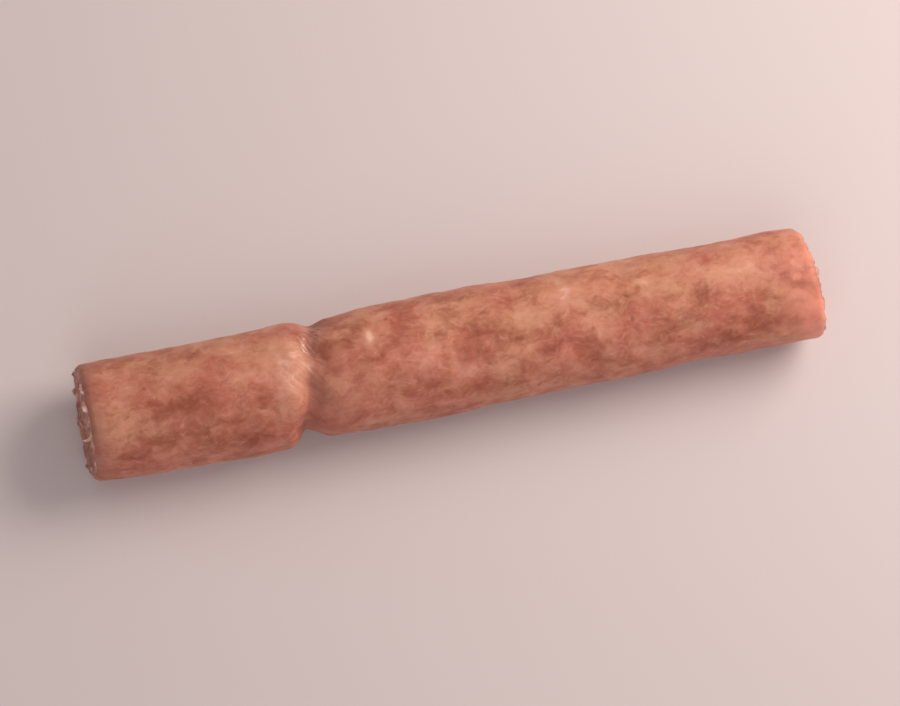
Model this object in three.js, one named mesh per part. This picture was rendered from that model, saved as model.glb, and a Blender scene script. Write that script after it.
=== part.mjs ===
// A short string of raw sausage links: the end of one link and the whole of the next, in one casing that is
// twisted once between them and cut straight across at both ends. It lies on a flat surface.
//
// Frame, in millimetres: +X runs along the string, from the short link to the long one, +Y is across it and
// +Z is up. The origin is under the middle of the string, on the surface that it rests on.

import * as THREE from "three";

// Driving dimensions of the string.
const STRING_LENGTH = 136; // from the middle of one cut face to the middle of the other
const TWIST_AT = 41.9; // where the casing is twisted, measured from the short link's cut face

// Filled radius of the casing: fullest behind the twist, and thinner towards both cuts.
const SHORT_CUT_RADIUS = 10.5;
const FULL_RADIUS = 10.95;
const LONG_CUT_RADIUS = 10.05;
const FULL_FROM = 25; // distance from the short link's cut at which it is full

// The twist: a groove round the string, steep on the short link's side and gentler on the long link's.
const GROOVE_DEPTH = 2.3; // mean depth
const GROOVE_DEPTH_SWING = 1.2; // deeper than that on one side of the string, and shallower on the other
const GROOVE_DEEPEST_ANGLE = -2.2; // section angle of the deep side, in radians
const GROOVE_REACH = 2.1; // distance from the groove's bottom at which its depth has fallen to about a third
const GENTLE_SHARE = 0.3; // how much of the depth the long link makes up slowly
const GENTLE_REACH = 7; // and over what distance
const GROOVE_SLANT = 2.2; // how far the groove is out of square: its shift along the string at its sides
const SLANT_REACH = 14; // distance from the groove at which that has died out
const FOLD_COUNT = 8; // gathers of twisted casing round the groove
const FOLD_HEIGHT = 0.3;
const FOLD_REACH = 4.5; // how far a gather runs out from the groove
const FOLD_PITCH = 0.09; // radians that a gather turns in each millimetre along the string

// Slack in the filling: waves that run along the string and, turns times, round it.
const LUMPS = [
  { height: 0.12, length: 31, turns: 2, phase: 0 },
  { height: 0.08, length: 18, turns: -1, phase: 1.1 },
];
const SWAY = 0.6; // how far the short link bows out of line
const SWAY_CENTRE = 27;
const SWAY_LENGTH = 24;

// Soft meat spreads under its own weight and lies on a flat strip.
const SPREAD = 1.03; // width over height of a section before it is flattened
const REST_HEIGHT = 9.5; // height of the string's centre line above the surface
const REST_BLEND = 0.6; // how softly the flat strip turns up into the sides

// Cut faces.
const SHORT_RIM_RADIUS = 1.8; // rounding of the casing's cut edge on the short link
const LONG_RIM_RADIUS = 1.2; // and on the long link
const SHORT_CUT_HOLLOW = 0.9; // depth of the dish in the short link's face
const LONG_CUT_BULGE = 0.5; // height of the dome on the long link's face
const GRAIN_SIZE = 3.6; // the coarse grind of the meat, as it shows on a cut
const GRAIN_HEIGHT = 0.5;
const GRAIN_MIX = 2.7; // gives grains that lie side by side unlike heights
const GRAIN_FADE = 3; // power at which the grains level out towards the rim

// How the knife leaned at each cut: how far its face goes along the string for each millimetre across or up.
const SHORT_CUT_LEAN = { across: 0, up: 0.07 };
const LONG_CUT_LEAN = { across: -0.06, up: 0.02 };
const LEAN_REACH = 12; // distance from a cut at which the casing no longer follows its lean

// Steps of the faceted surface.
const SIDES = 48;
const FINE_STEP = 0.7; // along the string, beside the groove
const COARSE_STEP = 4; // and far from it
const STEP_GROWTH = 0.22; // share of the distance from the groove by which a step grows
const RIM_STEPS = 3;
const FACE_RINGS = 7;

const { abs, cos, sin, exp, sqrt, hypot, atan2, min, max, PI } = Math;
const GOLDEN_ANGLE = PI * (3 - sqrt(5));

// A smooth rise from 0 at x = a to 1 at x = b.
const rise = (x, a, b) => THREE.MathUtils.smoothstep(x, a, b);

// The larger of a and b, with the corner between them rounded over a distance k.
function softMax(a, b, k) {
  const overlap = max(k - abs(a - b), 0);
  return max(a, b) + (overlap * overlap) / (4 * k);
}

// Radius of the filled casing at x, leaving the twist out.
function filledRadius(x) {
  const fromShortCut = SHORT_CUT_RADIUS + (FULL_RADIUS - SHORT_CUT_RADIUS) * rise(x, 0, FULL_FROM);
  const taper = (FULL_RADIUS - LONG_CUT_RADIUS) * rise(x, TWIST_AT, STRING_LENGTH);
  return fromShortCut - taper;
}

// How much radius the groove takes away: a bell curve, partly replaced by a gentler one on the long link.
function grooveLoss(x, angle) {
  const bell = (reach) => exp(-(((x - TWIST_AT) / reach) ** 2));
  const steep = bell(GROOVE_REACH);
  const gentle = x < TWIST_AT ? steep : bell(GENTLE_REACH);
  const depth = GROOVE_DEPTH + GROOVE_DEPTH_SWING * cos(angle - GROOVE_DEEPEST_ANGLE);
  return depth * ((1 - GENTLE_SHARE) * steep + GENTLE_SHARE * gentle);
}

// The groove isn't square to the string: how far the casing near it is moved along at a section angle.
const slant = (x, angle) => GROOVE_SLANT * cos(angle) * (1 - rise(abs(x - TWIST_AT), 0, SLANT_REACH));

// Height of the twisted casing's gathers, which die out on either side of the groove.
function foldHeight(x, angle) {
  const fade = exp(-(((x - TWIST_AT) / FOLD_REACH) ** 2));
  return FOLD_HEIGHT * fade * cos(FOLD_COUNT * (angle - FOLD_PITCH * (x - TWIST_AT)));
}

// Slow unevenness of the filling, along the string and round it.
function lumpHeight(x, angle) {
  let sum = 0;
  for (const { height, length, turns, phase } of LUMPS) {
    sum += height * sin((2 * PI * x) / length + turns * angle + phase);
  }
  return sum;
}

const casingRadius = (x, angle) =>
  filledRadius(x) - grooveLoss(x, angle) + foldHeight(x, angle) + lumpHeight(x, angle);

// Sideways bow of the centre line.
const sway = (x) => -SWAY * exp(-(((x - SWAY_CENTRE) / SWAY_LENGTH) ** 2));

// Coarse ground meat on a cut face: round grains packed like the seeds of a sunflower, each a bump or a pit.
function grainHeight(y, z) {
  const grainRadius = GRAIN_SIZE / 2;
  const count = Math.round((FULL_RADIUS / grainRadius) ** 2);
  let height = 0;
  for (let i = 0; i < count; i++) {
    const out = FULL_RADIUS * sqrt((i + 0.5) / count);
    const away = hypot(y - out * cos(i * GOLDEN_ANGLE), z - out * sin(i * GOLDEN_ANGLE));
    height += GRAIN_HEIGHT * sin(GRAIN_MIX * i * i) * exp(-((away / grainRadius) ** 2));
  }
  return height;
}

// How far a point of a cut face moves along the string. share is 0 at the middle of the face, 1 at the rim,
// and dish is how far the middle of that face goes in or out.
function cutRelief(dish, share, y, z) {
  return dish * (1 - share * share) + (1 - share ** GRAIN_FADE) * grainHeight(y, z);
}

// How far the knife's lean moves a point of a cut face, or of the casing near it, along the string.
function cutLean(x, y, z) {
  const leanOf = (lean, away) => (lean.across * y + lean.up * z) * (1 - rise(away, 0, LEAN_REACH));
  return leanOf(SHORT_CUT_LEAN, x) + leanOf(LONG_CUT_LEAN, STRING_LENGTH - x);
}

// Stations between the two rims: one in the groove, its neighbours close to it, the others wide apart.
function stations() {
  const distances = (reach) => {
    const found = [];
    for (let away = FINE_STEP; away < reach - FINE_STEP; ) {
      found.push(away);
      away += min(max(STEP_GROWTH * away, FINE_STEP), COARSE_STEP);
    }
    return [...found, reach];
  };
  const shortLink = distances(TWIST_AT - SHORT_RIM_RADIUS).map((away) => TWIST_AT - away);
  const longLink = distances(STRING_LENGTH - LONG_RIM_RADIUS - TWIST_AT).map((away) => TWIST_AT + away);
  return [...shortLink.reverse(), TWIST_AT, ...longLink];
}

// Half the outline of a cut end, from the middle of its face round the rim: share of the casing's radius, and
// depth behind the cut.
function cutOutline(rimRadius) {
  const rimShare = rimRadius / FULL_RADIUS;
  const outline = [];
  for (let i = 0; i < FACE_RINGS; i++) outline.push([((1 - rimShare) * i) / FACE_RINGS, 0]);
  for (let i = 0; i < RIM_STEPS; i++) {
    const turn = (PI / 2) * (i / RIM_STEPS);
    outline.push([1 - rimShare * (1 - sin(turn)), rimRadius * (1 - cos(turn))]);
  }
  return outline;
}

// The outline that is turned into the string: radius as a share of the casing's, against position along it.
// It runs from the middle of the short link's face, over both rims, to the middle of the long link's face.
function stringProfile() {
  const longCut = cutOutline(LONG_RIM_RADIUS).map(([share, depth]) => [share, STRING_LENGTH - depth]);
  const outline = [...cutOutline(SHORT_RIM_RADIUS), ...stations().map((x) => [1, x]), ...longCut.reverse()];
  return outline.map(([share, x]) => new THREE.Vector2(share, x));
}

// The string's surface: the profile turned about its axis, then every point moved to where the casing is.
function stringGeometry() {
  const geometry = new THREE.LatheGeometry(stringProfile(), SIDES);
  geometry.rotateZ(-PI / 2); // the lathe's axis becomes +X
  geometry.deleteAttribute("normal");
  geometry.deleteAttribute("uv");

  const position = geometry.getAttribute("position");
  for (let i = 0; i < position.count; i++) {
    const x = position.getX(i);
    const share = hypot(position.getY(i), position.getZ(i));
    const angle = atan2(position.getZ(i), position.getY(i));

    const radius = share * casingRadius(x, angle);
    const across = SPREAD * radius * cos(angle);
    const up = radius * sin(angle);
    const [dish, rimRadius] =
      x < TWIST_AT ? [SHORT_CUT_HOLLOW, SHORT_RIM_RADIUS] : [LONG_CUT_BULGE, LONG_RIM_RADIUS];
    const onFace = 1 - rise(min(x, STRING_LENGTH - x), 0, rimRadius);

    position.setXYZ(
      i,
      x + slant(x, angle) + cutLean(x, across, up) + onFace * cutRelief(dish, share, across, up),
      across + sway(x),
      softMax(up, -REST_HEIGHT, REST_BLEND),
    );
  }

  // The middle of the string's box is over the origin, and its flat strip is at the height of the origin.
  geometry.computeBoundingBox();
  const box = geometry.boundingBox;
  const centre = box.getCenter(new THREE.Vector3());
  return geometry.translate(-centre.x, -centre.y, -box.min.z);
}

// Fresh pork under a thin collagen casing: a satin, brownish pink skin.
const rawSausage = new THREE.MeshStandardMaterial({
  color: 0xbe745e,
  roughness: 0.45,
  metalness: 0,
});

const sausageString = new THREE.Mesh(stringGeometry(), rawSausage);
sausageString.name = "sausage_string";

const part = new THREE.Group();
part.add(sausageString);

export default part;
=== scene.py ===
import bpy
import numpy as np
from mathutils import Matrix, Vector


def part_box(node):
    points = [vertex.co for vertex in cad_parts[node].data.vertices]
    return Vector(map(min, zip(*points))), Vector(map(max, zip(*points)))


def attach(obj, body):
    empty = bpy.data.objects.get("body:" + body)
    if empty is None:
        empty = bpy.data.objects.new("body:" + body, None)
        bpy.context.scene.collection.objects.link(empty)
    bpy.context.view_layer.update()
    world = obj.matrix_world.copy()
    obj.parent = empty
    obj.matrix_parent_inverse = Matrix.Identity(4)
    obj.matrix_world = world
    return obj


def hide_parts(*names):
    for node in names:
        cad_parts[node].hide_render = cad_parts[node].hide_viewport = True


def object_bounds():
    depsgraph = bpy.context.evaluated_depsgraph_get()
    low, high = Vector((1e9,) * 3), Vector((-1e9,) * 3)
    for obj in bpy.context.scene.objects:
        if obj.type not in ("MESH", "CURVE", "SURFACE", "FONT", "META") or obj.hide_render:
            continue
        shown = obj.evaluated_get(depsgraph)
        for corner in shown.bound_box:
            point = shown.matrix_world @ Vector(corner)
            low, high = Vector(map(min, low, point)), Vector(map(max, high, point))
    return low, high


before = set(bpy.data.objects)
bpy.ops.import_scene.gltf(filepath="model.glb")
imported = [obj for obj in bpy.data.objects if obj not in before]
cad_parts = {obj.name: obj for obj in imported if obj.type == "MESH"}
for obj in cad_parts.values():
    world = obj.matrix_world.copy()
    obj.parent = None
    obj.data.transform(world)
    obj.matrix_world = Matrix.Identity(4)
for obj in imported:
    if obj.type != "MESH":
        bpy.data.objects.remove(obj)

cad_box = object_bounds()

# ---------------------------------------------------------------------------------------------------------
# The two links
# Coarsely ground raw pork in a thin collagen casing: the end of one link, then the whole of the next. The
# casing was twisted once between them as it was filled, and a knife took both off a longer string.
# ---------------------------------------------------------------------------------------------------------

MM = 0.001  # sizes are in millimetres here, and meshes in metres
STRING_LENGTH = 136.0  # from the middle of one cut face to the middle of the other
TWIST_AT = 41.9  # measured, as every place along the string is, from the short link's cut face


def rise(x, a, b):
    """A smooth rise from 0 at a to 1 at b: three times the square of the share, less twice its cube."""
    share = np.clip((x - a) / (b - a), 0, 1)
    return share * share * (3 - 2 * share)


def soft_max(a, b, k):
    """The larger of a and b, raised near where they are equal by the square of the overlap over 4 k."""
    overlap = np.maximum(k - np.abs(a - b), 0)
    return np.maximum(a, b) + overlap**2 / (4 * k)


def noise(points, size, seed):
    """Soft random relief from about -1 to 1, with hills about one size apart. Each corner of a lattice of
    cubes has a random slope, and a point blends the heights that the slopes of its eight corners give it.
    The blend is 1.6 times as high, so that it comes near 1."""
    draw = np.random.default_rng(seed)
    shuffle = draw.permutation(256)
    slopes = draw.normal(size=(256, 3))
    slopes /= np.linalg.norm(slopes, axis=1, keepdims=True)
    cell = np.floor(points / size).astype(int)
    inside = points / size - cell
    blend = inside**3 * (inside * (inside * 6 - 15) + 10)
    height = np.zeros(points.shape[:-1])
    for corner in np.ndindex(2, 2, 2):
        i, j, k = np.moveaxis((cell + corner) & 255, -1, 0)
        slope = slopes[shuffle[(shuffle[(shuffle[i] + j) & 255] + k) & 255]]
        weight = np.where(np.array(corner, bool), blend, 1 - blend).prod(-1)
        height += weight * (slope * (inside - corner)).sum(-1)
    return 1.6 * height


def grains(points, size, seed):
    """How deep inside its grain each point lies: 0 where two grains meet, and about 0.6 in the middle of
    one. Each cube of a lattice holds one grain's middle, and the depth is the distance to the second nearest
    middle less that to the nearest."""
    draw = np.random.default_rng(seed)
    shuffle = draw.permutation(256)
    middles = draw.random(size=(256, 3))
    cell = np.floor(points / size).astype(int)
    nearest = np.full(points.shape[:-1], np.inf)
    second = np.full(points.shape[:-1], np.inf)
    for step in np.ndindex(3, 3, 3):
        around = cell + step - 1
        i, j, k = np.moveaxis(around & 255, -1, 0)
        middle = around + middles[shuffle[(shuffle[(shuffle[i] + j) & 255] + k) & 255]]
        away = np.linalg.norm(points / size - middle, axis=-1)
        second = np.minimum(second, np.maximum(nearest, away))
        nearest = np.minimum(nearest, away)
    return second - nearest


# The filled casing: at its full radius before the twist, and thinner towards both cuts.
SHORT_CUT_RADIUS = 10.5
FULL_RADIUS = 10.95
LONG_CUT_RADIUS = 10.05
FULL_FROM = 25.0  # where it has reached its full radius


def filled_radius(x):
    """Radius of the casing without the twist: it rises smoothly from the short cut to its full size, and
    falls smoothly from the twist to the long cut."""
    from_short_cut = SHORT_CUT_RADIUS + (FULL_RADIUS - SHORT_CUT_RADIUS) * rise(x, 0, FULL_FROM)
    return from_short_cut - (FULL_RADIUS - LONG_CUT_RADIUS) * rise(x, TWIST_AT, STRING_LENGTH)


# The twist: a groove round the string, steep on the short link's side and gentler on the long link's.
GROOVE_DEPTH = 2.3  # on average
GROOVE_DEPTH_SWING = 1.2  # deeper than that on one side of the string, and shallower on the other
GROOVE_DEEPEST_ANGLE = -2.2  # angles go round the string in radians, from +Y by way of the top
GROOVE_REACH = 2.1
GENTLE_SHARE = 0.3  # how much of the depth the long link makes up slowly
GENTLE_REACH = 7.0


def groove_loss(x, angle):
    """What the twist takes off the radius: a bell curve, with a gentler one in part of its place on the
    long link, times a depth that swings with the cosine of the angle."""
    steep = np.exp(-(((x - TWIST_AT) / GROOVE_REACH) ** 2))
    gentle = np.where(x < TWIST_AT, steep, np.exp(-(((x - TWIST_AT) / GENTLE_REACH) ** 2)))
    depth = GROOVE_DEPTH + GROOVE_DEPTH_SWING * np.cos(angle - GROOVE_DEEPEST_ANGLE)
    return depth * ((1 - GENTLE_SHARE) * steep + GENTLE_SHARE * gentle)


# The crumpled patch of casing on one shoulder of the twist.
PUCKER_SPACING = 0.65
PUCKER_HEIGHT = 0.36
PUCKER_DRAWN_OUT = 0.6  # its pattern changes this much as fast along the string as round it
PUCKER_FROM_TWIST = -0.2
PUCKER_ANGLE = np.radians(54)
PUCKER_LENGTH = 2.4
PUCKER_TURN = 0.32


def pucker_share(x, angle):
    """How crumpled the casing is: a bell curve along the string and round it, which is 1 in the middle of
    the crumpled patch."""
    along = (x - TWIST_AT - PUCKER_FROM_TWIST) / PUCKER_LENGTH
    turn = ((angle - PUCKER_ANGLE + np.pi) % (2 * np.pi) - np.pi) / PUCKER_TURN
    return np.exp(-(along**2) - turn**2)


# The twisted casing: gathers round the groove, and fine pleats between them.
FOLD_COUNT = 8
FOLD_HEIGHT = 0.3
FOLD_REACH = 4.5
FOLD_PITCH = 0.09  # radians that a gather turns in each millimetre along the string
PLEAT_SPACING = 1.2
PLEAT_DEPTH = 0.38
PLEAT_DRAWN_OUT = 0.2  # the pleats' pattern changes this much as fast along the string as round it
PLEAT_SHARPNESS = 0.6  # power that makes creases of a noise's soft valleys
PLEAT_LEVEL = 0.5  # height of those creases at which the casing stays where it was
PLEAT_VARIETY = (0.8, 1.4, 0.4)  # the pleats' strength on average, how much it varies, and the least
VARIETY_SPACING = 4 * PLEAT_SPACING
PLEAT_REACH = 3.4  # on the short link
LONG_LINK_SHARE = 0.8  # how much of that reach the pleats have on the long link


def gather_height(x, angle):
    """Gathers, fine pleats and puckers of the twisted casing: a cosine round the string and the creases of
    a noise, both drawn out along a helix and dying away from the groove as a bell curve, and a finer noise
    in one patch."""
    away = x - TWIST_AT
    swirl = angle - FOLD_PITCH * away
    folds = FOLD_HEIGHT * np.exp(-((away / FOLD_REACH) ** 2)) * np.cos(FOLD_COUNT * swirl)
    around = (FULL_RADIUS * np.cos(swirl), FULL_RADIUS * np.sin(swirl))
    drawn_out = np.stack(np.broadcast_arrays(*around, PLEAT_DRAWN_OUT * away), -1)
    creases = np.abs(noise(drawn_out, PLEAT_SPACING, seed=11)) ** PLEAT_SHARPNESS - PLEAT_LEVEL
    mean, variety, least = PLEAT_VARIETY
    creases *= np.maximum(mean + variety * noise(drawn_out, VARIETY_SPACING, seed=13), least)
    crumpled = np.stack(np.broadcast_arrays(*around, PUCKER_DRAWN_OUT * away), -1)
    puckers = PUCKER_HEIGHT * pucker_share(x, angle) * noise(crumpled, PUCKER_SPACING, seed=12)
    reach = np.where(away < 0, PLEAT_REACH, LONG_LINK_SHARE * PLEAT_REACH)
    return folds + PLEAT_DEPTH * np.exp(-((away / reach) ** 2)) * creases + puckers


LUMPS = ((0.12, 31.0, 2, 0.0), (0.08, 18.0, -1, 1.1))  # height, length, turns round the string, phase


def lump_height(x, angle):
    """Slow unevenness of the filling: a sum of sine waves that run along the string and round it."""
    return sum(
        height * np.sin(2 * np.pi * x / length + turns * angle + phase)
        for height, length, turns, phase in LUMPS
    )


# How the knife leaned: along the string for each millimetre across and up.
SHORT_CUT_LEAN = (0.0, 0.07)
LONG_CUT_LEAN = (-0.06, 0.02)
LEAN_REACH = 12.0  # distance from a cut at which the casing no longer follows its lean


def cut_lean(x, across, up):
    """How far the knife's lean moves a point along the string: in step with its place across and up, and
    less and less away from the cut."""
    short = SHORT_CUT_LEAN[0] * across + SHORT_CUT_LEAN[1] * up
    long = LONG_CUT_LEAN[0] * across + LONG_CUT_LEAN[1] * up
    return short * (1 - rise(x, 0, LEAN_REACH)) + long * (1 - rise(STRING_LENGTH - x, 0, LEAN_REACH))


# The groove isn't square to the string, and strays to either side on its way round.
GROOVE_SLANT = 2.2
SLANT_REACH = 14.0
WANDER = 0.7
WANDER_SPACING = 4.0

# The grind under the casing, the string's bow, and the flat strip that soft meat spreads onto.
MEAT_RELIEF = ((5.5, 0.16), (2.6, 0.09), (1.2, 0.03))  # spacing and height
SWAY = 0.6  # how far it bows towards -Y
SWAY_CENTRE = 27.0
SWAY_LENGTH = 24.0
SPREAD = 1.03  # width over height of a section
REST_HEIGHT = 9.5  # of the centre line above the table
REST_BLEND = 0.6

# The cut faces: a rounded rim, a dish or a dome inside it, and the grind laid open.
SHORT_RIM_RADIUS = 1.8
LONG_RIM_RADIUS = 1.2
SHORT_CUT_HOLLOW = 0.9
LONG_CUT_BULGE = 0.5
CUT_RELIEF = 0.75  # height that the grains, hills and crumbs each have a share of
GRAIN_SIZE, GRAIN_SHARE = 2.8, 0.6  # pieces of meat and fat, as the grinder's plate left them
GRAIN_TOP = 0.35  # a grain's top is flat from this depth inside it, as a share of its size
GRAIN_LEVEL = 0.6  # the share of a grain's height that lies under the face's mean level
HILL_SPACING, HILL_SHARE = 4.5, 0.6
CRUMB_SPACING, CRUMB_SHARE = 1.1, 0.25
RIM_CALM = 0.6  # how much flatter the relief is at the rim
FACES_APART = 40.0  # how far from the middle of the relief's pattern each face reads it, so the two differ


def string_surface(x, share, angle):
    """A point of the string, in millimetres, for a place along it, a share of the way out from its centre
    line and an angle round it. The radius is the filled casing's less the groove, plus lumps, gathers and
    the grind's relief. The section is an ellipse that is flat underneath, the centre line bows slightly
    sideways, and a cut face is a dish or dome with the relief of its grains."""
    rim = np.where(x < TWIST_AT, SHORT_RIM_RADIUS, LONG_RIM_RADIUS)
    on_face = 1 - rise(np.minimum(x, STRING_LENGTH - x), 0, rim)
    radius = filled_radius(x) - groove_loss(x, angle) + lump_height(x, angle)
    place = np.stack(np.broadcast_arrays(x, radius * np.cos(angle), radius * np.sin(angle)), -1)
    meat = sum(height * noise(place, spacing, seed=21) for spacing, height in MEAT_RELIEF)
    radius = share * (radius + gather_height(x, angle) + meat)
    across = SPREAD * radius * np.cos(angle)
    up = radius * np.sin(angle)

    around = np.stack((np.zeros_like(angle), FULL_RADIUS * np.cos(angle), FULL_RADIUS * np.sin(angle)), -1)
    slant = GROOVE_SLANT * np.cos(angle) + WANDER * noise(around, WANDER_SPACING, seed=22)
    slant = slant * (1 - rise(np.abs(x - TWIST_AT), 0, SLANT_REACH))
    out = np.where(x < TWIST_AT, -1.0, 1.0)
    dish = np.where(x < TWIST_AT, SHORT_CUT_HOLLOW, LONG_CUT_BULGE) * (1 - share**2)
    face = np.stack(np.broadcast_arrays(FACES_APART * out, across, up), -1)
    pieces = np.minimum(grains(face, GRAIN_SIZE, seed=5), GRAIN_TOP) / GRAIN_TOP - GRAIN_LEVEL
    hills = HILL_SHARE * noise(face, HILL_SPACING, seed=6)
    crumbs = CRUMB_SHARE * noise(face, CRUMB_SPACING, seed=7)
    relief = CUT_RELIEF * (pieces * GRAIN_SHARE + hills + crumbs)
    on_cut = on_face * (dish + out * relief * (1 - RIM_CALM * share**6))
    along = x + slant + cut_lean(x, across, up) + on_cut
    bow = -SWAY * np.exp(-(((x - SWAY_CENTRE) / SWAY_LENGTH) ** 2))
    return np.stack((along, across + bow, soft_max(up, -REST_HEIGHT, REST_BLEND)), -1)


# The steps of the surface.
SIDES = 212
CROWDING = 0.35  # share by which sides stand closer on top, where the detail shows, and wider underneath
FACE_RINGS = 26
RIM_RINGS = 9
INNERMOST = 0.01  # share of the radius at a face's smallest ring
FINE_SPACING = 0.17  # between rings at the twist
COARSE_SPACING = 0.43  # and away from it
FINE_REACH = 5.0  # distance from the twist up to which they stand so close
COARSE_FROM = 14.0  # and from which they stand so far apart
SPACING_SAMPLES = 4000  # places along the string at which the rings' spacing is summed


def face_outline(rim):
    """Shares of the radius and depths behind a cut: even steps out over its face, then a quarter circle
    round its rim, whose depth is the rim's radius times one less the cosine."""
    rim_share = rim / FULL_RADIUS
    turn = np.linspace(0, np.pi / 2, RIM_RINGS, endpoint=False)
    face = np.linspace(INNERMOST, 1 - rim_share, FACE_RINGS, endpoint=False)
    share = np.concatenate((face, 1 - rim_share * (1 - np.sin(turn))))
    return share, np.concatenate((np.zeros(FACE_RINGS), rim * (1 - np.cos(turn))))


def string_rows():
    """Places along the string and shares of the radius, from the middle of one face over both rims to the
    middle of the other. Rings stand where the running sum of one over the spacing passes whole numbers."""
    short_share, short_depth = face_outline(SHORT_RIM_RADIUS)
    long_share, long_depth = face_outline(LONG_RIM_RADIUS)
    fine = np.linspace(SHORT_RIM_RADIUS, STRING_LENGTH - LONG_RIM_RADIUS, SPACING_SAMPLES)
    reach = (FINE_REACH, COARSE_FROM)
    spacing = np.interp(np.abs(fine - TWIST_AT), reach, (FINE_SPACING, COARSE_SPACING))
    count = np.cumsum((fine[1] - fine[0]) / spacing)
    middle = np.interp(np.arange(np.ceil(count[0]), count[-1]), count, fine)
    x = np.concatenate((short_depth, middle, STRING_LENGTH - long_depth[::-1]))
    share = np.concatenate((short_share, np.ones(len(middle)), long_share[::-1]))
    return x[:, None], share[:, None]


def closed_mesh(name, rings, ends=None):
    """A closed mesh in metres from rings of points in millimetres. Each ring is joined to the next by
    four-sided faces. Triangles close the first and last ring on two end points, or, without them, the last
    ring joins the first."""
    rows, sides = rings.shape[:2]
    index = np.arange(rows * sides).reshape(rows, sides)
    points = rings.reshape(-1, 3)
    following = np.roll(index, -1, axis=1)
    if ends is None:
        corners = (index, following, np.roll(following, -1, axis=0), np.roll(index, -1, axis=0))
    else:
        corners = (index[:-1], following[:-1], following[1:], index[1:])
    faces = np.stack(corners, -1).reshape(-1, 4).tolist()
    if ends is not None:
        first, last = len(points), len(points) + 1
        faces += np.stack((np.full(sides, first), following[0], index[0]), -1).tolist()
        faces += np.stack((np.full(sides, last), index[-1], following[-1]), -1).tolist()
        points = np.concatenate((points, ends))
    mesh = bpy.data.meshes.new(name)
    mesh.from_pydata((points * MM).tolist(), [], faces)
    mesh.shade_smooth()
    return mesh


def place_mesh(name, mesh, *materials):
    """An object at the origin that shows a mesh, with its materials in their slots."""
    piece = bpy.data.objects.new(name, mesh)
    bpy.context.scene.collection.objects.link(piece)
    for material in materials:
        mesh.materials.append(material)
    return piece


# The fat and the lean of the filling that shows through the casing on top: the middle of each patch along
# the string and in degrees round it, its half length and half width, and how strongly it shows. The strong
# patch at 37.5 mm, on the short link's shoulder at the twist, is partly pale fat and partly a painted
# highlight where that shoulder faces the light.
FAT_PATCHES = (
    (7, 71, 5, 3, 0.8), (18, 69, 4.5, 2.8, 0.8), (29, 77, 4, 4, 0.9), (37.5, 84, 3.4, 5.5, 2.3),
    (53.4, 68, 0.8, 1.3, 3.4), (53, 105, 2, 1.7, 0.6), (62, 100, 4.5, 3, 0.7), (76, 63, 3, 2.4, 0.9),
    (90.5, 72, 2.8, 4, 1.3), (95, 103, 3.2, 1.5, 1.0), (70.5, 119, 3, 2, 0.7), (112, 63, 7, 3, 0.9),
    (124.5, 69, 6, 4, 0.9), (46, 135, 2.5, 1.5, 0.5), (43.6, 90, 0.7, 1.0, 1.6), (43, 108, 0.6, 1.2, 1.2),
    (47.5, 112, 1.6, 1.2, 0.9), (104, 132, 3, 1.6, 0.6), (83, 80, 2.2, 2.4, 0.6),
)
LEAN_PATCHES = (
    (19, 108, 15, 9, 0.45), (104, 107, 20, 6, 0.2), (18.7, 98, 3, 1.5, 1.4), (17.3, 123, 5, 3, 0.8),
    (31, 143, 5, 2.5, 0.9), (32.5, 114, 1.6, 1.8, 0.9), (44.5, 78, 0.9, 1.3, 1.2), (46.5, 96, 1, 0.9, 1.2),
    (44, 121, 0.9, 1.2, 1.0), (49, 73, 1.2, 1.1, 0.9), (55, 93, 3, 2.5, 0.7), (58, 135, 4.5, 2.4, 0.8),
    (75.5, 90, 1.4, 1.6, 1.0), (80, 101, 1.8, 1, 1.1), (88, 88, 1.2, 1.7, 1.1), (85.3, 112, 2, 2, 0.9),
    (72, 142, 4, 2, 0.8), (118, 99, 3.2, 3, 0.9), (123.7, 105, 3, 1.8, 1.0), (119.5, 141, 5, 2.2, 1.1),
    (108, 118, 5, 2.5, 0.7), (66, 82, 1.2, 1, 0.7),
)


def patches(x, angle, listed):
    """Sum of the listed patches over the casing: each is its strength times a bell curve of the way from its
    middle, along the string over its half length and round it over its half width."""
    total = np.zeros(np.broadcast(x, angle).shape)
    for along, degrees, length, width, strength in listed:
        turn = (angle - np.radians(degrees) + np.pi) % (2 * np.pi) - np.pi
        total += strength * np.exp(-(((x - along) / length) ** 2) - (FULL_RADIUS * turn / width) ** 2)
    return total


def linear(hex_colour):
    """An sRGB hex colour as the linear red, green, blue and alpha that a shader takes."""
    channels = np.array([int(hex_colour[i : i + 2], 16) for i in (1, 3, 5)]) / 255
    light = np.where(channels <= 0.04045, channels / 12.92, ((channels + 0.055) / 1.055) ** 2.4)
    return (*light.tolist(), 1.0)


def add(tree, kind, inputs={}, **settings):
    """Adds a shader node with its settings. An input is given by its name or its number. One that is given
    a socket is linked to it, and any other is set to its value."""
    node = tree.nodes.new("ShaderNode" + kind)
    for name, value in settings.items():
        setattr(node, name, value)
    for key, value in inputs.items():
        if isinstance(value, bpy.types.NodeSocket):
            tree.links.new(value, node.inputs[key])
        else:
            node.inputs[key].default_value = value
    return node


def new_material(name):
    """An empty material, and its node tree."""
    material = bpy.data.materials.new(name)
    material.use_nodes = True
    material.node_tree.nodes.clear()
    return material, material.node_tree


def in_millimetres(tree):
    """The place on a piece in millimetres, for patterns whose scales are worked out from real sizes."""
    place = add(tree, "TexCoord").outputs["Object"]
    return add(tree, "VectorMath", {0: place, 3: 1 / MM}, operation="SCALE").outputs[0]


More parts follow.
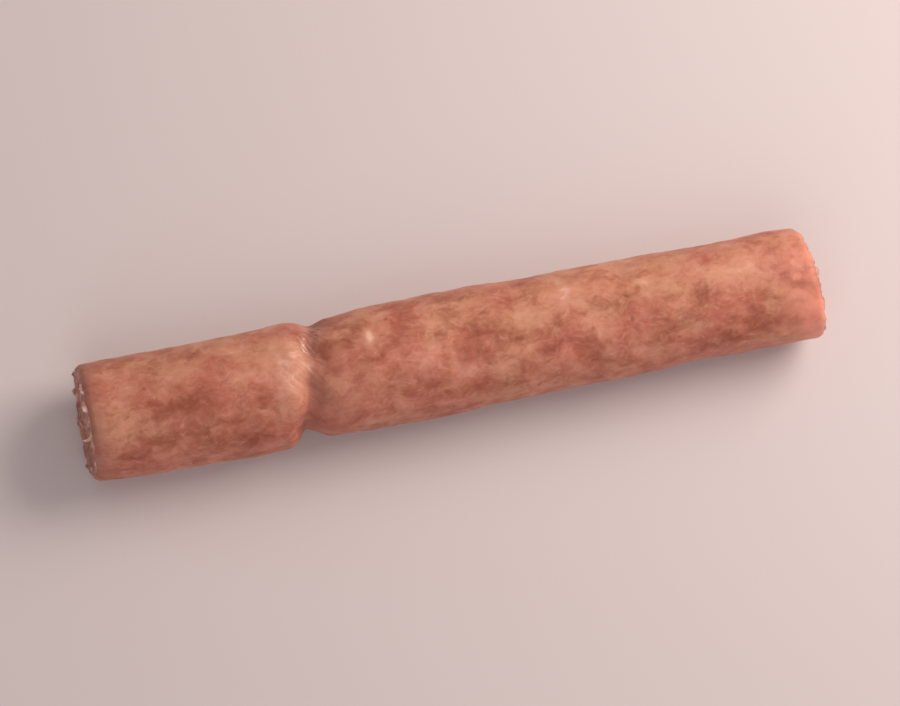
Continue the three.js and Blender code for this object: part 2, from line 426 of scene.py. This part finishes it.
def cased_sausage():
    """Raw pork sausage meat under moist collagen casing. The casing is clear, so the eye sees cloudy pink
    fat, small red-brown pieces of lean and pale threads a little way down, softened by the light that
    wanders in the meat, and a satin skin over them that is wet only where the twist crumples it."""
    material, tree = new_material("raw sausage in collagen casing")
    mm = in_millimetres(tree)
    fat_patch, lean_patch, gather, wet, near_short_cut, near_long_cut, near_side = (
        add(tree, "Attribute", attribute_name=name).outputs["Fac"]
        for name in ("fat", "lean", "gather", "wet", "near_short_cut", "near_long_cut", "near_side")
    )

    # Smears run with the filling, so patterns are longer along the string, and bent by up to 1.5 mm so that
    # none is straight.
    bend = add(tree, "TexNoise", {"Vector": mm, "Scale": 1 / 4.0, "Detail": 1.5}).outputs["Color"]
    bend = add(tree, "VectorMath", {0: bend, 1: (0.5, 0.5, 0.5)}, operation="SUBTRACT").outputs[0]
    bend = {0: bend, 1: (3.0, 3.0, 3.0), 2: mm}
    bent = add(tree, "VectorMath", bend, operation="MULTIPLY_ADD").outputs[0]
    drawn = add(tree, "VectorMath", {0: bent, 1: (0.75, 1.0, 1.0)}, operation="MULTIPLY").outputs[0]
    deep = add(tree, "VectorMath", {0: drawn, 1: (31.0, 7.0, 3.0)}, operation="ADD").outputs[0]

    # How fat the meat is at a place: clouds of 4.5 mm, the grinder's pieces of 2 mm, crumbs of 1 mm and the
    # patches, each with its own weight.
    cloud = {"Vector": drawn, "Scale": 1 / 4.5, "Detail": 2.5, "Roughness": 0.55}
    cloud = add(tree, "TexNoise", cloud).outputs[0]
    grind = {"Vector": drawn, "Scale": 1 / 2.1, "Smoothness": 1.0}
    grind = add(tree, "TexVoronoi", grind, feature="SMOOTH_F1").outputs["Color"]
    grind = add(tree, "SeparateColor", {0: grind}).outputs[0]
    fine = {"Vector": drawn, "Scale": 1 / 0.9, "Detail": 3.0, "Roughness": 0.6}
    fine = add(tree, "TexNoise", fine).outputs[0]
    fat = add(tree, "Math", {0: cloud, 1: 0.64, 2: -0.295}, operation="MULTIPLY_ADD").outputs[0]
    for pattern, weight in ((grind, 0.35), (fine, 0.6), (fat_patch, 0.24), (lean_patch, -0.2)):
        fat = add(tree, "Math", {0: pattern, 1: weight, 2: fat}, operation="MULTIPLY_ADD").outputs[0]
    lean = add(tree, "MapRange", {0: fat, 1: 0.6, 2: 0.05}, interpolation_type="SMOOTHSTEP").outputs[0]
    pure_fat = add(tree, "MapRange", {0: fat, 1: 0.88, 2: 1.35, 4: 0.85}).outputs[0]
    fat = add(tree, "MapRange", {0: fat, 1: 0.38, 2: 1.15}, interpolation_type="SMOOTHSTEP").outputs[0]

    # The meat between is sallow in places and pinker in others, 7 mm apart. It is also pinker and darker
    # towards the near side. This is partly the meat's own tone and partly painted shade of the side away
    # from the light.
    pink = add(tree, "TexNoise", {"Vector": deep, "Scale": 1 / 7.0, "Detail": 2.0}).outputs[0]
    pink = add(tree, "Math", {0: near_side, 1: 0.08, 2: pink}, operation="MULTIPLY_ADD").outputs[0]
    pink = add(tree, "MapRange", {0: pink, 1: 0.36, 2: 0.64}, interpolation_type="SMOOTHSTEP").outputs[0]

    # Wisps of pale tissue, a third of a millimetre wide and a few long: the highest parts of a swirling
    # noise.
    wisp = {"Vector": drawn, "Scale": 1 / 1.5, "Detail": 3.0, "Roughness": 0.65, "Distortion": 0.45}
    wisp = {0: add(tree, "TexNoise", wisp).outputs[0], 1: 0.48, 2: 0.78, 4: 0.28}
    wisp = add(tree, "MapRange", wisp, interpolation_type="SMOOTHSTEP").outputs[0]

    # Specks: small dark pieces of lean and ground pepper, in some of the cells of a 2.3 mm pattern.
    cells = add(tree, "TexVoronoi", {"Vector": drawn, "Scale": 1 / 2.3})
    speck = add(tree, "MapRange", {0: cells.outputs["Distance"], 1: 0.24, 2: 0.02}).outputs[0]
    chosen = add(tree, "SeparateColor", {0: cells.outputs["Color"]}).outputs[1]
    chosen = add(tree, "MapRange", {0: chosen, 1: 0.55, 2: 1.0, 4: 0.8}).outputs[0]
    speck = add(tree, "Math", {0: speck, 1: chosen}, operation="MULTIPLY").outputs[0]

    # In the groove the meat is darker and more mauve, partly from the bunched casing and partly as painted
    # shade in the groove. Beside the short link's cut, the end that faces away from the light, it is painted
    # a shaded mauve-brown. Near the long link's end a painted glow stands for the light that shines through
    # it. All three are cloudy, as the meat under them is.
    gather, short_end_shade, glow = (
        add(tree, "Math", {0: cloud, 1: near}, operation="MULTIPLY").outputs[0]
        for near in (gather, near_short_cut, near_long_cut)
    )
    gather = add(tree, "MapRange", {0: gather, 1: 0.02, 2: 0.25, 4: 0.5}).outputs[0]
    short_end_shade = add(tree, "MapRange", {0: short_end_shade, 1: 0.08, 2: 0.5, 4: 0.55}).outputs[0]
    glow = {0: glow, 1: 0.08, 2: 0.5, 4: 0.7}
    glow = add(tree, "MapRange", glow, interpolation_type="SMOOTHSTEP").outputs[0]

    # Each colour covers the ones before it where its pattern shows.
    tint = linear("#c38568")
    for pattern, colour in (
        (pink, "#bb6f5b"), (lean, "#98503a"), (fat, "#dca089"), (pure_fat, "#f2cbb9"), (wisp, "#e2ae9c"),
        # the groove's colour is partly painted shade, the short end's is painted shade, and the glow is
        # painted light
        (speck, "#7c4034"), (gather, "#98574e"), (short_end_shade, "#a06e60"), (glow, "#f09a86"),
    ):
        tint = add(tree, "Mix", {0: pattern, 6: tint, 7: linear(colour)}, data_type="RGBA").outputs[2]

    # The skin: satin, and wet with small beads where it is crumpled, over the finest grain of the meat.
    skin = add(tree, "MapRange", {0: fine, 1: 0.3, 2: 0.7, 3: 0.42, 4: 0.56}).outputs[0]
    skin = add(tree, "Mix", {0: wet, 2: skin, 3: 0.12}).outputs[0]
    grain = {"Vector": mm, "Scale": 1 / 0.7, "Detail": 4.0, "Roughness": 0.6}
    grain = add(tree, "TexNoise", grain).outputs[0]
    beads = add(tree, "TexNoise", {"Vector": mm, "Scale": 1 / 0.32, "Detail": 1.0}).outputs[0]
    beads = add(tree, "Math", {0: beads, 1: wet}, operation="MULTIPLY").outputs[0]
    grain = add(tree, "Math", {0: beads, 1: 3.0, 2: grain}, operation="MULTIPLY_ADD").outputs[0]
    relief = add(tree, "Bump", {"Strength": 0.4, "Distance": 0.12 * MM, "Height": grain}).outputs[0]
    surface = add(tree, "BsdfPrincipled", {
        "Base Color": tint,
        "Roughness": skin,
        "IOR": 1.4,
        "Specular IOR Level": 0.5,
        "Coat Weight": wet,
        "Coat Roughness": 0.08,
        "Subsurface Weight": 0.45,
        "Subsurface Radius": (1.0, 0.4, 0.25),
        "Subsurface Scale": 2.2 * MM,
        "Normal": relief,
    })
    add(tree, "OutputMaterial", {"Surface": surface.outputs[0]})
    return material


def cut_pork():
    """Raw ground pork laid open by a knife: wet, coarse, pink-red lean with creamy pieces of fat."""
    material, tree = new_material("cut ground pork")
    mm = in_millimetres(tree)
    bend = add(tree, "TexNoise", {"Vector": mm, "Scale": 1 / 1.3, "Detail": 2.0}).outputs["Color"]
    bend = {0: bend, 1: (1.8, 1.8, 1.8), 2: mm}
    bent = add(tree, "VectorMath", bend, operation="MULTIPLY_ADD").outputs[0]
    fine = {"Vector": mm, "Scale": 1 / 0.7, "Detail": 4.0, "Roughness": 0.65}
    fine = add(tree, "TexNoise", fine).outputs[0]
    mash = {"Vector": bent, "Scale": 1 / 2.2, "Detail": 4.0, "Roughness": 0.65}
    mash = add(tree, "TexNoise", mash).outputs[0]
    mash = add(tree, "MapRange", {0: mash, 1: 0.34, 2: 0.66}).outputs[0]
    tint = {0: mash, 6: linear("#9b6052"), 7: linear("#c18673")}
    tint = add(tree, "Mix", tint, data_type="RGBA").outputs[2]

    # Pieces from the grinder's plate: dark lean of 2 mm and creamy fat of 1.5 mm, each in some of the cells
    # of a pattern.
    for size, least, colour in ((2.1, 0.62, "#87453a"), (1.5, 0.55, "#dcb3a1")):
        cells = add(tree, "TexVoronoi", {"Vector": bent, "Scale": 1 / size})
        chosen = add(tree, "SeparateColor", {0: cells.outputs["Color"]}).outputs[0]
        chosen = add(tree, "MapRange", {0: chosen, 1: least, 2: least + 0.12, 4: 0.85}).outputs[0]
        piece = add(tree, "MapRange", {0: cells.outputs["Distance"], 1: 0.52, 2: 0.3}).outputs[0]
        piece = add(tree, "Math", {0: piece, 1: chosen}, operation="MULTIPLY").outputs[0]
        tint = add(tree, "Mix", {0: piece, 6: tint, 7: linear(colour)}, data_type="RGBA").outputs[2]

    relief = add(tree, "Bump", {"Strength": 0.5, "Distance": 0.2 * MM, "Height": fine}).outputs[0]
    surface = add(tree, "BsdfPrincipled", {
        "Base Color": tint,
        "Roughness": 0.36,
        "IOR": 1.4,
        "Specular IOR Level": 0.5,
        "Subsurface Weight": 0.4,
        "Subsurface Radius": (1.0, 0.4, 0.25),
        "Subsurface Scale": 2.0 * MM,
        "Normal": relief,
    })
    add(tree, "OutputMaterial", {"Surface": surface.outputs[0]})
    return material


x, share = string_rows()
turn = np.linspace(0, 2 * np.pi, SIDES, endpoint=False)[None, :]
angle = turn + CROWDING * np.cos(turn)
rings = string_surface(x, share, angle)
ends = rings[[0, -1]].mean(axis=1)

# The string lies where the CAD solid does: its box has the same middle, and its flat strip the same height.
low, high = (np.array(corner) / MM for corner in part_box("sausage_string"))
found_low, found_high = rings.min((0, 1)), rings.max((0, 1))
shift = (low + high - found_low - found_high) / 2
shift[2] = low[2] - found_low[2]
rings += shift
ends += shift

links = closed_mesh("links", rings, ends)
links_piece = place_mesh("links", links, cased_sausage(), cut_pork())

# The casing ends on each rounded rim, at this angle from the cut face. Faces inside it show the cut meat.
CASING_EDGE_TURN = np.radians(28)
over_rim = 1 - np.cos(CASING_EDGE_TURN)
on_cut = (x < SHORT_RIM_RADIUS * over_rim) | (STRING_LENGTH - x < LONG_RIM_RADIUS * over_rim)
slots = np.concatenate((np.repeat(on_cut[:-1, 0], SIDES), np.ones(2 * SIDES)))
links.polygons.foreach_set("material_index", slots.astype(np.int32))

# Where the casing's looks change along the string and round it, for its material to read.
BUNCHING_AND_SHADE = 0.42  # how strongly the groove is darkened at its bottom, partly by bunched casing and partly as painted shade
BUNCHING_AND_SHADE_REACH = (0.9, 7.5)  # and how far that goes on the short link and on the long one
SHADED_TO, BRIGHT_FROM = 0.3, 5.5  # the painted shade is full up to the first of these, and gone from the second
GLOW_REACH = 14.0  # how far the light comes in through the long link's cut
GLOW, GLOW_SWING = 0.7, 0.3  # its strength, and how much stronger it is on the side that -Y points to

away = x - TWIST_AT
bunched = np.exp(-((away / np.where(away < 0, *BUNCHING_AND_SHADE_REACH)) ** 2))
glow = GLOW - GLOW_SWING * np.cos(angle)
fields = {
    "fat": patches(x, angle, FAT_PATCHES),
    "lean": patches(x, angle, LEAN_PATCHES),
    # painted shade in the groove, together with the darker bunched casing
    "gather": BUNCHING_AND_SHADE * bunched,
    # painted shade towards the short link's cut, the end that faces away from the light
    "near_short_cut": 1 - rise(x, SHADED_TO, BRIGHT_FROM),
    "wet": pucker_share(x, angle),
    # partly the meat's own tone and partly painted shade: larger towards the near side, away from the light
    "near_side": -np.cos(angle),
    "near_long_cut": rise(x, STRING_LENGTH - GLOW_REACH, STRING_LENGTH) * glow,
}
for name, values in fields.items():
    field = links.attributes.new(name, "FLOAT", "POINT")
    values = np.broadcast_to(values, rings.shape[:2])
    values = np.concatenate((values.ravel(), values[[0, -1], 0]))
    field.data.foreach_set("value", values.astype(np.float32))

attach(links_piece, "root")
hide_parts("sausage_string")

# ---------------------------------------------------------------------------------------------------------
# The casing's cut edges
# The collagen film itself, a tenth of a millimetre thick. The knife left it standing a little proud of the
# meat in places round each cut, as a ragged, pale lip. Its root is under the surface of the links.
# ---------------------------------------------------------------------------------------------------------

SHORT_CUT, LONG_CUT = -1, 1  # which way each cut faces along the string
FILM = 0.12  # thickness
LIP_REACH = 0.08  # how far the lip stands out at least
LIP_RAGGED = 0.7  # and how much further in places
LIP_SUNK = 0.16  # how deep the lip lies where the knife left none of it
LIP_LEFT_FROM, LIP_LEFT_TO = -0.05, 0.3  # heights of a noise from which some of it is left, and all of it
LEFT_SPACING = 3.0  # of the stretches where it is left
TEAR_SPACING = 2.4
FINE_TEAR_SPACING = 0.8
FINE_TEAR_SHARE = 0.5  # height of the fine tears, where the others are 1
LIP_FLARE = -0.15  # how far its free edge leans outwards on average
FLARE_VARIETY = 0.2
FLARE_SPACING = 3.5
LIP_ROOT = -0.35  # place of its root, where 1 is its free edge
LIP_TAPER = 0.5  # how much thinner than the rest its free edge is
LIP_STEPS = 480
LIP_SECTION_STEPS = 7
LOWEST = 0.02  # height above the table that the lip keeps
LOWEST_BLEND = 0.1


def rim_point(out, angle):
    """The points where the casing ends on the rim of a cut, out being the way that the cut faces. A turn
    over the rounded rim gives their depth behind the cut by its cosine, and their share of the radius by
    its sine."""
    rim = SHORT_RIM_RADIUS if out == SHORT_CUT else LONG_RIM_RADIUS
    depth = rim * (1 - np.cos(CASING_EDGE_TURN))
    share = 1 - rim / FULL_RADIUS * (1 - np.sin(CASING_EDGE_TURN))
    x = np.full(angle.shape, depth if out == SHORT_CUT else STRING_LENGTH - depth)
    return string_surface(x, share, angle) + shift


def casing_lip(name, out, seed):
    """A closed band of film that stands out from a rim. Across it, a section runs from the root to the free
    edge on the outside and back on the inside. Its reach and its lean outwards vary round the string as
    noises do, and the lean grows as the square of the way out."""
    angle = np.linspace(0, 2 * np.pi, LIP_STEPS, endpoint=False)
    level = np.zeros_like(angle)
    around = np.stack((FULL_RADIUS * np.cos(angle), FULL_RADIUS * np.sin(angle), level), -1)
    left = rise(noise(around, LEFT_SPACING, seed + 3), LIP_LEFT_FROM, LIP_LEFT_TO)
    fine_tears = np.abs(noise(around, FINE_TEAR_SPACING, seed + 1))
    tears = np.abs(noise(around, TEAR_SPACING, seed)) + FINE_TEAR_SHARE * fine_tears
    reach = (LIP_REACH + LIP_RAGGED * left * tears)[:, None]
    flare = (FLARE_VARIETY * noise(around, FLARE_SPACING, seed + 2) + LIP_FLARE)[:, None]

    step = np.linspace(LIP_ROOT, 1, LIP_SECTION_STEPS)
    step = np.concatenate((step, step[::-1]))
    way_out = np.maximum(step, 0)
    inside = np.repeat((0.0, 1.0), LIP_SECTION_STEPS)
    lift = flare * way_out**2 - FILM * (inside - 0.5) * (1 - LIP_TAPER * way_out)
    lift -= LIP_SUNK * (1 - left[:, None])
    along = (out * reach * step)[..., None] * np.array((1.0, 0, 0))
    outwards = np.stack((level, np.cos(angle), np.sin(angle)), -1)
    rings = rim_point(out, angle)[:, None] + along + lift[..., None] * outwards[:, None]
    rings[..., 2] = soft_max(rings[..., 2], LOWEST, LOWEST_BLEND)
    return closed_mesh(name, rings[::-1] if out == LONG_CUT else rings)


def collagen_film():
    """Moist collagen casing by itself: a milky, faintly pink film, whiter where it is bunched."""
    material, tree = new_material("collagen casing film")
    bunched = {"Vector": in_millimetres(tree), "Scale": 1 / 1.3, "Detail": 3.0}
    bunched = add(tree, "TexNoise", bunched).outputs[0]
    bunched = add(tree, "MapRange", {0: bunched, 1: 0.5, 2: 0.68}).outputs[0]
    tint = {0: bunched, 6: linear("#bb8878"), 7: linear("#e5c8bc")}
    tint = add(tree, "Mix", tint, data_type="RGBA").outputs[2]
    surface = add(tree, "BsdfPrincipled", {
        "Base Color": tint,
        "Roughness": 0.3,
        "IOR": 1.4,
        "Subsurface Weight": 0.3,
        "Subsurface Radius": (1.0, 0.7, 0.6),
        "Subsurface Scale": 0.3 * MM,
    })
    add(tree, "OutputMaterial", {"Surface": surface.outputs[0]})
    return material


film = collagen_film()
for name, out, seed in (("casing_edge_short_link", SHORT_CUT, 31), ("casing_edge_long_link", LONG_CUT, 41)):
    lip = place_mesh(name, casing_lip(name, out, seed), film)
    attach(lip, "root")

# ---------------------------------------------------------------------------------------------------------
# Shreds of casing
# Torn bits of the same film that cling to the short link's cut. Each is fixed at its root, under the lip,
# and runs out past it.
# ---------------------------------------------------------------------------------------------------------

SHREDS = (  # degrees round the cut, length, width, degrees that it leans round the string, curl outwards
    (57, 1.0, 0.9, 50, 0.05), (66, 0.8, 0.8, -50, 0.15), (95, 1.0, 1.0, 50, 0.1),
    (114, 1.9, 0.9, 15, 0.0), (122, 0.8, 0.9, 60, 0.15), (20, 0.9, 0.8, 40, -0.05),
)
SHRED_ROOT = -0.3  # place of its root, where 0 is on the rim and 1 is its free end
SHRED_TIP = 0.02  # share of its half width, squared, that is left at its free end
WEAVE = 0.15  # how far it strays sideways, as a share of its length
WEAVE_TURN = 3.0  # radians of that sine wave from the rim to the free end
SHRED_STEPS = 18
SHRED_SIDES = 8


def shred(degrees, length, width, lean, curl):
    """Rings and end points of one strip: flattened rings along a path that leans round the string, weaves
    as a sine wave and curls as a square. They narrow as the square root of the way left to the end."""
    angle = np.radians(degrees)
    root = rim_point(SHORT_CUT, np.array([angle]))[0]
    outwards = np.array((0, np.cos(angle), np.sin(angle)))
    sideways = np.array((0, -np.sin(angle), np.cos(angle)))
    ahead = np.array((SHORT_CUT, 0, 0))
    forwards = np.cos(np.radians(lean)) * ahead + np.sin(np.radians(lean)) * sideways
    across = np.cross(outwards, forwards)
    step = np.linspace(SHRED_ROOT, 1, SHRED_STEPS)[:, None]
    weave = WEAVE * np.sin(WEAVE_TURN * step) * across
    path = root + length * (step * forwards + curl * step * np.abs(step) * outwards + weave)
    turn = np.linspace(0, 2 * np.pi, SHRED_SIDES, endpoint=False)[None, :, None]
    half_width = (width / 2 * (1 + SHRED_TIP - np.maximum(step, 0)) ** 0.5)[..., None]
    rings = path[:, None] + half_width * np.cos(turn) * across + FILM / 2 * np.sin(turn) * outwards
    return rings, path[[0, -1]]


for number, details in enumerate(SHREDS, start=1):
    name = f"casing_shred_{number}"
    strip = place_mesh(name, closed_mesh(name, *shred(*details)), film)
    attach(strip, "root")

# ---------------------------------------------------------------------------------------------------------
# The table, the light and the view
# A plain pale surface under a large soft window light from the far right, with a weak fill from the other
# side.
# ---------------------------------------------------------------------------------------------------------

FLOOR_HALF = 3.0  # metres, as all sizes are in this section unless they say otherwise
middle = Vector((cad_box[0] + cad_box[1]) / 2)

floor_mesh = bpy.data.meshes.new("table")
corners = [(FLOOR_HALF * side, FLOOR_HALF * end, 0) for side, end in ((-1, -1), (1, -1), (1, 1), (-1, 1))]
floor_mesh.from_pydata(corners, [], [(0, 1, 2, 3)])
floor_material, floor_tree = new_material("pale table top")
floor_surface = add(floor_tree, "BsdfPrincipled", {"Base Color": linear("#d3c7c8"), "Roughness": 0.6})
add(floor_tree, "OutputMaterial", {"Surface": floor_surface.outputs[0]})
floor = place_mesh("table", floor_mesh, floor_material)


def soft_light(name, direction, distance, size, watts, colour):
    """A square area light at a distance from the string in a direction, facing it."""
    light = bpy.data.lights.new(name, "AREA")
    light.size = size
    light.energy = watts
    light.color = linear(colour)[:3]
    lamp = bpy.data.objects.new(name, light)
    bpy.context.scene.collection.objects.link(lamp)
    back = Vector(direction).normalized()
    lamp.location = middle + distance * back
    lamp.rotation_euler = back.to_track_quat("Z", "Y").to_euler()


soft_light("window", (0.8, 0.3, 0.75), distance=0.45, size=0.3, watts=1.82, colour="#fff1e6")
soft_light("fill", (-0.2, -0.8, 0.9), distance=1.2, size=0.9, watts=3.0, colour="#f9f1ee")

world = bpy.data.worlds.new("room")
world.use_nodes = True
room_light = world.node_tree.nodes["Background"].inputs
room_light["Color"].default_value = linear("#f6f0ee")
room_light["Strength"].default_value = 0.42
bpy.context.scene.world = world
bpy.context.scene.view_settings.view_transform = "Standard"

# The camera looks down from above, a little from the near left. The string rises to the right in its view.
VIEW_AZIMUTH, VIEW_ELEVATION = np.radians(-30), np.radians(78)
VIEW_RISE = np.radians(11.1)
VIEW_DISTANCE = 0.95
STRING_SHARE_OF_WIDTH = 0.82
SENSOR_WIDTH = 36.0  # millimetres

back = Vector((
    np.sin(VIEW_AZIMUTH) * np.cos(VIEW_ELEVATION),
    -np.cos(VIEW_AZIMUTH) * np.cos(VIEW_ELEVATION),
    np.sin(VIEW_ELEVATION),
))
along_string = Vector((1, 0, 0))
along_string = (along_string - along_string.dot(back) * back).normalized()
over_string = back.cross(along_string)
right = np.cos(VIEW_RISE) * along_string - np.sin(VIEW_RISE) * over_string
camera = bpy.data.cameras.new("camera")
camera.sensor_width = SENSOR_WIDTH
string_width = (cad_box[1].x - cad_box[0].x) * np.cos(VIEW_RISE)
camera.lens = SENSOR_WIDTH * VIEW_DISTANCE * STRING_SHARE_OF_WIDTH / string_width
camera_object = bpy.data.objects.new("camera", camera)
bpy.context.scene.collection.objects.link(camera_object)
turn = Matrix((right, back.cross(right), back)).transposed().to_4x4()
camera_object.matrix_world = Matrix.Translation(middle + VIEW_DISTANCE * back) @ turn
bpy.context.scene.camera = camera_object
